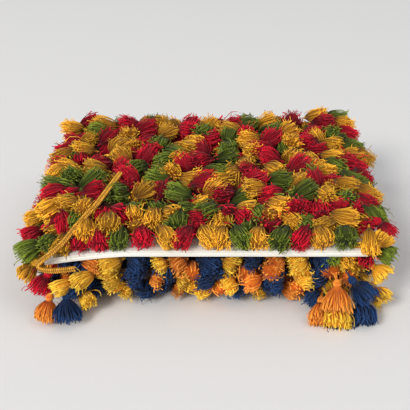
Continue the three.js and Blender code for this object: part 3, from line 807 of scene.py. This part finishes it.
# The turn below, which shows in the gaps: rows on top, then rows round the sides
DEEP_TOP = dict(columns=12, rows=8, half=176, front=50, back=272, low=97, high=103)
DEEP_END = dict(sunk=20, out=7, lowest=8, over_card=80)
DEEP_COLUMNS = ("pile", "side", "count", "z")
DEEP_ROWS = [
    ("upper", "front", 12, 92), ("upper", "left", 9, 88), ("upper", "right", 9, 88),
    ("upper", "back", 13, 90), ("upper", "back", 12, 100), ("lower", "front", 12, 50),
    ("lower", "front", 12, 28),
    ("lower", "left", 8, 34), ("lower", "right", 8, 34), ("lower", "left", 7, 62),
    ("lower", "right", 7, 62), ("lower", "back", 13, 60), ("lower", "back", 13, 40),
    ("lower", "back", 12, 16), ("lower", "left", 6, 10), ("lower", "right", 6, 10),
    ("upper", "left", 8, 68), ("upper", "right", 8, 68),
]


def lay_deep_tassels():
    """Where the tassels of the turn below lie, which are fewer and plainer than the others."""
    rng = np.random.default_rng(5)
    tassels = []

    def add(pile, head, tip):
        if pile == "upper":
            head, tip = swollen(*head), swollen(*tip)
        order = ORDERS[pile]
        tassels.append(dict(pile=pile, colour=order[rng.integers(len(order))], head=head, tip=tip,
                            radius=rng.uniform(12.5, 15)))

    for x in np.linspace(-DEEP_TOP["half"], DEEP_TOP["half"], DEEP_TOP["columns"]):
        for y in np.linspace(DEEP_TOP["front"], DEEP_TOP["back"], DEEP_TOP["rows"]):
            angle, half = rng.uniform(-math.pi, math.pi), 15
            px, py = x + rng.uniform(-6, 6), y + rng.uniform(-6, 6)
            dx, dy = math.cos(angle) * half, math.sin(angle) * half
            add("upper", (px - dx, py - dy, DEEP_TOP["low"]), (px + dx, py + dy, DEEP_TOP["high"]))
    for row in named_rows(DEEP_COLUMNS, DEEP_ROWS):
        form = form_at(FORMS[row["pile"]], row["z"])
        for s in np.linspace(-0.9, 0.9, row["count"]):
            lean, drop = rng.uniform(-9, 9), rng.uniform(-4, 6)
            ends = []
            for outward, t in ((-DEEP_END["sunk"], -1), (DEEP_END["out"], 1)):
                x, y = side_place(form, row["side"], s, outward, t * lean)
                ends.append((x, y, max(row["z"] - t * drop, DEEP_END["lowest"])))
            add(row["pile"], *ends)
    return tassels


deep = lay_deep_tassels()
for tassel in deep:
    upper = tassel["pile"] == "upper"
    keep_off_card(tassel, above=upper and tassel["head"][2] > DEEP_END["over_card"], below=not upper)
for i, colour in enumerate(("crimson", "mustard", "green")):
    fit_colour("upper", colour, deep, seed=10 + i, layer="deep_", **DEEP)

INSIDE = dict(sides=120, rows=22, sunk=5, lumps=0.006)


def packed_inside(name, form, colours, seed):
    """The deeper turns that show between the tassels: one lumpy closed form, in patches of darkened yarn
    colours that stand for painted shade.
    """
    sides, rows, sunk = INSIDE["sides"], INSIDE["rows"], INSIDE["sunk"]
    heights = np.linspace(form[0]["z"], form[-2]["z"], rows)
    bumps = np.random.default_rng(seed).uniform(-1, 1, (rows, sides))
    points, faces = [], []
    for j, z in enumerate(heights):
        row = form_at(form, z)
        middle, depth = (row["front"] + row["back"]) / 2, (row["back"] - row["front"]) / 2 - sunk
        for i in range(sides):
            angle = 2 * math.pi * i / sides
            c, s = math.cos(angle), math.sin(angle)
            out = (abs(c) ** SQUARENESS + abs(s) ** SQUARENESS) ** (-1 / SQUARENESS)
            out *= 1 + INSIDE["lumps"] * bumps[j, i]
            points.append(((row["half"] - sunk) * c * out, middle + depth * s * out, z))
    for j in range(rows - 1):
        for i in range(sides):
            k = (i + 1) % sides
            faces.append((j * sides + i, j * sides + k, (j + 1) * sides + k, (j + 1) * sides + i))
    faces.append(tuple(range(sides - 1, -1, -1)))
    faces.append(tuple(range((rows - 1) * sides, rows * sides)))
    if form is UPPER_FORM:
        points = [swollen(*point) for point in points]
    item = mesh_object(name, np.array(points) * MM + measured_from, faces)
    finish, tree, shader = new_finish(name + " yarn", 0.95, sheen=0.1)
    place = add_node(tree, "ShaderNodeTexCoord")
    cells = add_node(tree, "ShaderNodeTexVoronoi", Scale=42)
    picked, ramp = add_node(tree, "ShaderNodeSeparateColor"), add_node(tree, "ShaderNodeValToRGB")
    ramp.color_ramp.interpolation = "CONSTANT"
    while len(ramp.color_ramp.elements) < len(colours):
        ramp.color_ramp.elements.new(0.5)
    for i, (element, colour) in enumerate(zip(ramp.color_ramp.elements, colours)):
        element.position, element.color = i / len(colours), colour
    strands = add_node(tree, "ShaderNodeTexNoise", Scale=500)
    lumps = add_node(tree, "ShaderNodeBump", Distance=0.002)
    wire(tree,
         (place, "Object", cells, "Vector"), (place, "Object", strands, "Vector"),
         (cells, "Color", picked, "Color"), (picked, "Red", ramp, "Fac"),
         (ramp, "Color", shader, "Base Color"), (strands, "Fac", lumps, "Height"),
         (lumps, "Normal", shader, "Normal"))
    item.data.materials.append(finish)
    return item


# The upper turns' yarn colours, darkened to painted shade
fit(packed_inside("upper_inside", UPPER_FORM, [
    linear(60, 5, 12), linear(78, 44, 5), linear(20, 28, 8), linear(70, 40, 6)], 3),
    "upper_winding", "upper_winding")

# The lower winding
# The same trim in yellow, navy and orange, wound in the same way and bound flat under the card. It
# carries the bundle, so its underside is pressed flat on the table.
for i, colour in enumerate(("yellow", "navy", "orange")):
    fit_colour("lower", colour, packed, seed=20 + i)
    fit_colour("lower", colour, deep, seed=30 + i, layer="deep_", **DEEP)

# The lower turns' yarn colours, darkened to painted shade
fit(packed_inside("lower_inside", LOWER_FORM, [
    linear(84, 54, 8), linear(8, 14, 30), linear(84, 38, 8)], 4),
    "lower_winding", "lower_winding")

# The loose tassels
# Tassels at the two ends that stand clear of the windings. Each hangs by its loop from the heading,
# with a round head, a wrapped neck and a skirt of cut cotton yarn; some of them rest on the table.
LOOSE_COLUMNS = ("name", "colour", "head", "tip", "radius")
LOOSE = [
    ("tassel_left_orange", "orange", (-182, -20, 32), (-188, -36, 5), 12),
    ("tassel_left_navy", "navy", (-163, -20, 33), (-162, -38, 5), 18),
    ("tassel_left_yellow", "yellow", (-150, -12, 44), (-178, -24, 39), 9),
    ("tassel_left_floor", "yellow", (-151, -2, 24), (-137, -23, 20), 9),
    ("tassel_left_crimson", "crimson", (-182, -6, 55), (-198, -18, 33), 12),
    ("tassel_left_mustard", "mustard", (-200, 8, 61), (-217, 1, 39), 11),
    ("tassel_left_green", "green", (-187, 18, 83), (-220, 11, 65), 13),
    ("tassel_left_red", "crimson", (-192, 46, 84), (-219, 35, 73), 12),
    ("tassel_left_gold", "mustard", (-189, 62, 93), (-221, 53, 86), 10),
    ("tassel_right_yellow", "yellow", (154, -14, 17), (151, -48, 6), 16),
    ("tassel_right_orange", "orange", (152, -19, 51), (151, -40, 23), 17),
    ("tassel_right_floor", "orange", (138, -12, 20), (129, -42, 6), 9),
    ("tassel_right_navy", "navy", (168, -12, 49), (192, -25, 27), 14),
    ("tassel_right_blue", "navy", (183, -12, 24), (185, -44, 6), 14),
    ("tassel_right_high", "yellow", (193, 5, 58), (212, -8, 46), 12),
    ("tassel_right_low", "yellow", (197, 3, 30), (213, -14, 16), 12),
    ("tassel_right_green", "green", (194, 18, 76), (219, 4, 66), 11),
    ("tassel_right_gold", "mustard", (193, -2, 82), (209, 8, 95), 11),
    ("tassel_right_crimson", "crimson", (202, 38, 100), (220, 24, 84), 9),
]


# How many yarns lie over a loose tassel's head and how large it is, the height that parts the two
# windings at the ends, and what the skirt is made of
KNOB_YARNS, KNOB_SIZE = 22, (4.1, 4.1, 12.5)
PARTED_AT = 74
SKIRT = dict(yarns=92, ends=70, thick=0.58, neck=8.5, bend=3.2, frizz=2.0, end_frizz=1.6)


def held_at(head):
    """Where a loose tassel's loop is held, a little way inside the winding behind it."""
    place = np.array(head, float)
    inward = np.array((math.copysign(150, place[0]), 120, place[2])) - place
    inward /= np.linalg.norm(inward)
    place += inward * 5
    while True:
        form = form_at(FORMS["upper" if place[2] > PARTED_AT else "lower"], place[2])
        middle, depth = (form["front"] + form["back"]) / 2, (form["back"] - form["front"]) / 2
        sideways, deep_in = abs(place[0]) / form["half"], abs(place[1] - middle) / depth
        if sideways**SQUARENESS + deep_in**SQUARENESS < 0.5:
            return place
        place = place + inward


def loose_tassel(tassel, finish, seed):
    """A tassel in the round: its loop, the yarns over its head, the wrapped neck and its skirt."""
    rng = np.random.default_rng(seed)
    tassel["tint"] = rng.uniform(0.4, 0.65)
    head, along, length, level, across = tassel_axes(tassel)
    knob, over, loop = new_rows(), new_rows(), new_rows()
    add_row(knob, tassel, head - along, along, level, KNOB_SIZE, along * 0, tassel["tint"])
    for i in range(KNOB_YARNS):
        angle = 2 * math.pi * i / KNOB_YARNS
        out = way_out(level, across, angle)
        run = along * 9.2 + out * 2.2
        tint = tassel["tint"] + rng.uniform(-0.2, 0.2)
        add_row(over, tassel, head - along * 1.2 + out, run, out, (0.75, 0.75, 9.5), out * 2.1, tint)
    held = held_at(tassel["head"])
    for turn in (-1, 1):
        start = held + across * turn
        run = head + along * 2 + across * 0.7 * turn - start
        add_yarn(loop, tassel, start, run, level, 1.1, level * 1.5 * turn, tassel["tint"])
    name, thick, bend = tassel["name"] + "_yarn", SKIRT["thick"], SKIRT["bend"]
    skirt = skirt_yarns([tassel], SKIRT["yarns"], thick, 1.0, SKIRT["neck"], rng)
    filling = cut_ends([tassel], SKIRT["ends"], thick, 1.0, rng)
    return joined([
        grown(name, skirt, fine_unit, finish, bend, SKIRT["frizz"]),
        grown(name, filling, stub_unit, finish, bend, SKIRT["end_frizz"]),
        grown(name, tassel_bodies([tassel], 1.0), body_unit, finish, bend),
        grown(name, knob, head_unit, finish),
        grown(name, over, yarn_unit, finish),
        grown(name, loop, stitch_unit, finish),
    ])


for i, tassel in enumerate(named_rows(LOOSE_COLUMNS, LOOSE)):
    finish = YARN_FINISHES[tassel["colour"]]
    fit(loose_tassel(tassel, finish, 60 + i), tassel["name"], tassel["colour"])

# The gimp heading
# A narrow braid in gold thread that the tassels hang from. Its last turn crosses the top of the
# bundle, goes round the card's left front tip and runs back along the front edge.
# Each row has a place on the heading's path and the way that its face looks there
LAST_TURN = [
    ((-100, 152, 117), (0, 0, 1)),
    ((-108, 108, 125), (0, 0, 1)),
    ((-118, 70, 124), (0, -0.1, 1)),
    ((-129, 41, 118), (0, -0.4, 1)),
    ((-141, 27, 110), (-0.05, -0.6, 1)),
    ((-153, 12, 101), (-0.1, -0.6, 1)),
    ((-163, -1, 92), (-0.2, -0.7, 1)),
    ((-175, -11, 84), (-0.5, -0.8, 0.8)),
    ((-186, -14, 76.5), (-0.8, -0.9, 0.5)),
    ((-195, -14, 69), (-0.9, -0.9, 0.1)),
    ((-192, -16, 63.5), (-0.5, -1, -0.2)),
    ((-180, -17, 62), (0, -1, 0)),
    ((-166, -16, 62.5), (0.1, -1, 0)),
    ((-152, -14, 63), (0.1, -1, 0)),
]
FRONT_HEADING = [
    ((166, 6, 84), (0, -0.3, 1)),
    ((176, 2, 84.2), (0, -0.3, 1)),
    ((187, 3, 84), (0, -0.3, 1)),
]
GIMP = dict(width=7.5, pitch=2.4, edge=0.7, thick=0.6, rounding=5, straight_end=8)


def even_path(rows, step):
    """Even steps along the heading: each with its place, the way along, across and out of its face."""
    places, faces = (np.array([row[k] for row in rows], float) for k in (0, 1))
    run = np.concatenate([[0], np.cumsum(np.linalg.norm(np.diff(places, axis=0), axis=1))])
    stops = np.linspace(0, run[-1], int(run[-1] / step) + 1)
    rounding = np.linspace(-GIMP["rounding"], GIMP["rounding"], 11)

    def rounded(values, stop):
        """The path's mean round one stop, taken less far near the two ends, so that they stay put."""
        near = rounding * min(1, stop / GIMP["straight_end"], (run[-1] - stop) / GIMP["straight_end"])
        return np.mean([[np.interp(np.clip(stop + off, 0, run[-1]), run, values[:, axis])
                         for axis in range(3)] for off in near], axis=0)

    places, faces = (np.array([rounded(values, stop) for stop in stops]) for values in (places, faces))
    along = np.gradient(places, axis=0)
    along /= np.linalg.norm(along, axis=1, keepdims=True)
    faces -= along * np.sum(faces * along, axis=1, keepdims=True)
    faces /= np.linalg.norm(faces, axis=1, keepdims=True)
    return places, along, np.cross(along, faces), faces


def gimp_braid(name, rows, finish):
    """A thin core with slanted stitches over both its faces, which meet along the middle."""
    places, along, across, faces = even_path(rows, GIMP["pitch"])
    wide, thick = GIMP["width"] / 2 - GIMP["edge"], GIMP["thick"]
    points = np.concatenate([[p - a * wide - f * thick, p + a * wide - f * thick,
                              p + a * wide + f * thick, p - a * wide + f * thick]
                             for p, a, f in zip(places, across, faces)])
    count = len(places)
    sides = [(4 * j + i, 4 * j + (i + 1) % 4, 4 * j + 4 + (i + 1) % 4, 4 * j + 4 + i)
             for j in range(count - 1) for i in range(4)]
    # The core's low reach and tint give it the darker painted shade colour between the stitches
    core = mesh_object(name, points * MM + measured_from,
                       sides + [(3, 2, 1, 0), tuple(4 * count - 4 + i for i in range(4))],
                       reach=np.full(4 * count, 0.2), tint=np.full(4 * count, 0.3))
    core.data.materials.append(finish)
    rng = np.random.default_rng(9)
    stitches = new_rows()
    for p, t, a, f in zip(places, along, across, faces):
        for half in (-1, 1):
            for face in (-1, 1):
                start = p - t * 1.3 - a * half * 0.3 + f * face * 0.45
                run = t * 2.4 + a * half * (GIMP["width"] / 2 + 0.1)
                size = (0.95, 0.75, np.linalg.norm(run))
                add_row(stitches, {}, start, run, t, size, f * face * 0.5, rng.uniform(0.25, 0.75))
    return joined([grown(name, stitches, stitch_unit, finish), core])


# Its second colour is painted shade, which the stitches take at their ends and the core between them
gold = yarn_finish("Gold gimp", linear(224, 166, 58), linear(132, 84, 20))
fit(gimp_braid("last_turn_braid", LAST_TURN, gold), "last_turn", "gimp")
fit(gimp_braid("front_heading_braid", FRONT_HEADING, gold), "front_heading", "gimp")

# The table, the light and the camera
# A plain pale table under soft studio light, seen from in front and 30 degrees above.
TABLE = 30
corners = [(x * TABLE, y * TABLE, 0) for x, y in ((-1, -1), (1, -1), (1, 1), (-1, 1))]
floor = mesh_object("table", corners, [(0, 1, 2, 3)])
paper, tree, shader = new_finish("Pale table", 0.9)
shader.inputs["Base Color"].default_value = linear(236, 234, 230)
floor.data.materials.append(paper)

bpy.context.scene.view_settings.view_transform = "Standard"
world = bpy.data.worlds.new("Studio")
world.use_nodes = True
world.node_tree.nodes["Background"].inputs["Color"].default_value = (0.92, 0.94, 1.0, 1)
world.node_tree.nodes["Background"].inputs["Strength"].default_value = 0.49
bpy.context.scene.world = world
for light in (
    dict(name="Key", place=(-6.4, -8.0, 7.4), size=4.0, watts=1080),
    dict(name="Fill", place=(5.5, -2.3, 8.0), size=5.0, watts=110),
):
    lamp = bpy.data.lights.new(light["name"], "AREA")
    lamp.size, lamp.energy = light["size"], light["watts"]
    item = bpy.data.objects.new(light["name"], lamp)
    item.location = light["place"]
    toward = -np.array(light["place"])
    item.rotation_euler = (
        math.atan2(math.hypot(toward[0], toward[1]), -toward[2]), 0,
        math.atan2(toward[1], toward[0]) - math.pi / 2)
    bpy.context.scene.collection.objects.link(item)

VIEW = dict(place=(-1, -632, 505), above=30, sensor=36, lens=57.5)
lens = bpy.data.cameras.new("Camera")
lens.sensor_width, lens.lens = VIEW["sensor"], VIEW["lens"]
camera = bpy.data.objects.new("Camera", lens)
camera.location = tuple(np.array(VIEW["place"]) * MM + measured_from)
camera.rotation_euler = (math.radians(90 - VIEW["above"]), 0, 0)
bpy.context.scene.collection.objects.link(camera)
bpy.context.scene.camera = camera

for item in (yarn_unit, fine_unit, curl_unit, stub_unit, body_unit, small_unit, head_unit, stitch_unit):
    bpy.data.objects.remove(item)
